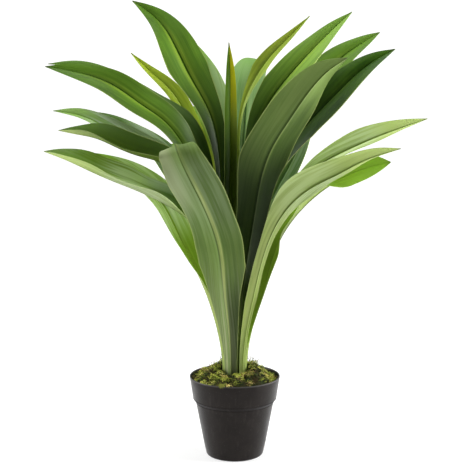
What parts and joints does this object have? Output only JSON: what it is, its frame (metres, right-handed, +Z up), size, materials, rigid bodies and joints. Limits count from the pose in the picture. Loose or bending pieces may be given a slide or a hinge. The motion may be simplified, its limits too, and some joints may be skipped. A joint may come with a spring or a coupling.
{
  "type": "potted dracaena",
  "caption": "Potted dracaena with long arching strap leaves fanning from a tight bunch, over a mossy mound in a round tapered nursery pot with a rim band",
  "frame": {"origin": "centre of the flat underside of the pot", "axes": "+Z up along the pot's axis; +Y away from the viewer of the front; +X to the viewer's right"},
  "size_m": [0.5302, 0.3937, 0.651],
  "materials": {
    "pot": "matt charcoal moulded plastic",
    "soil": "dark crumbly potting mix",
    "moss": "matt dried moss with fibres",
    "cane": "matt pale cane",
    "leaf": "soft sheen, green with paler midrib stripes",
    "leaf_young": "soft sheen, translucent lime green"
  },
  "bodies": {
    "root": {"pot": "pot", "soil": "soil", "moss": "moss", "cane": "cane", "leaf_front": "leaf", "leaf_right_front": "leaf", "leaf_right_low": "leaf", "leaf_left_low": "leaf", "leaf_left_back_mid": "leaf", "leaf_back_low": "leaf", "leaf_back_right_low": "leaf", "leaf_back_left_low": "leaf", "leaf_left_front": "leaf", "leaf_right_tall_front": "leaf", "leaf_right_mid": "leaf", "leaf_back_right": "leaf", "leaf_back_left": "leaf", "leaf_left_high_back": "leaf", "leaf_left_mid": "leaf", "leaf_right_high": "leaf", "leaf_right_inner": "leaf", "leaf_back_right_high": "leaf", "leaf_left_young": "leaf_young", "leaf_left_high": "leaf", "leaf_left_tall": "leaf", "leaf_top_left": "leaf", "leaf_top_back": "leaf", "leaf_right_tall": "leaf", "leaf_top_young": "leaf_young", "leaf_spear": "leaf_young", "leaf_left_inner": "leaf"}
  },
  "joints": []
}
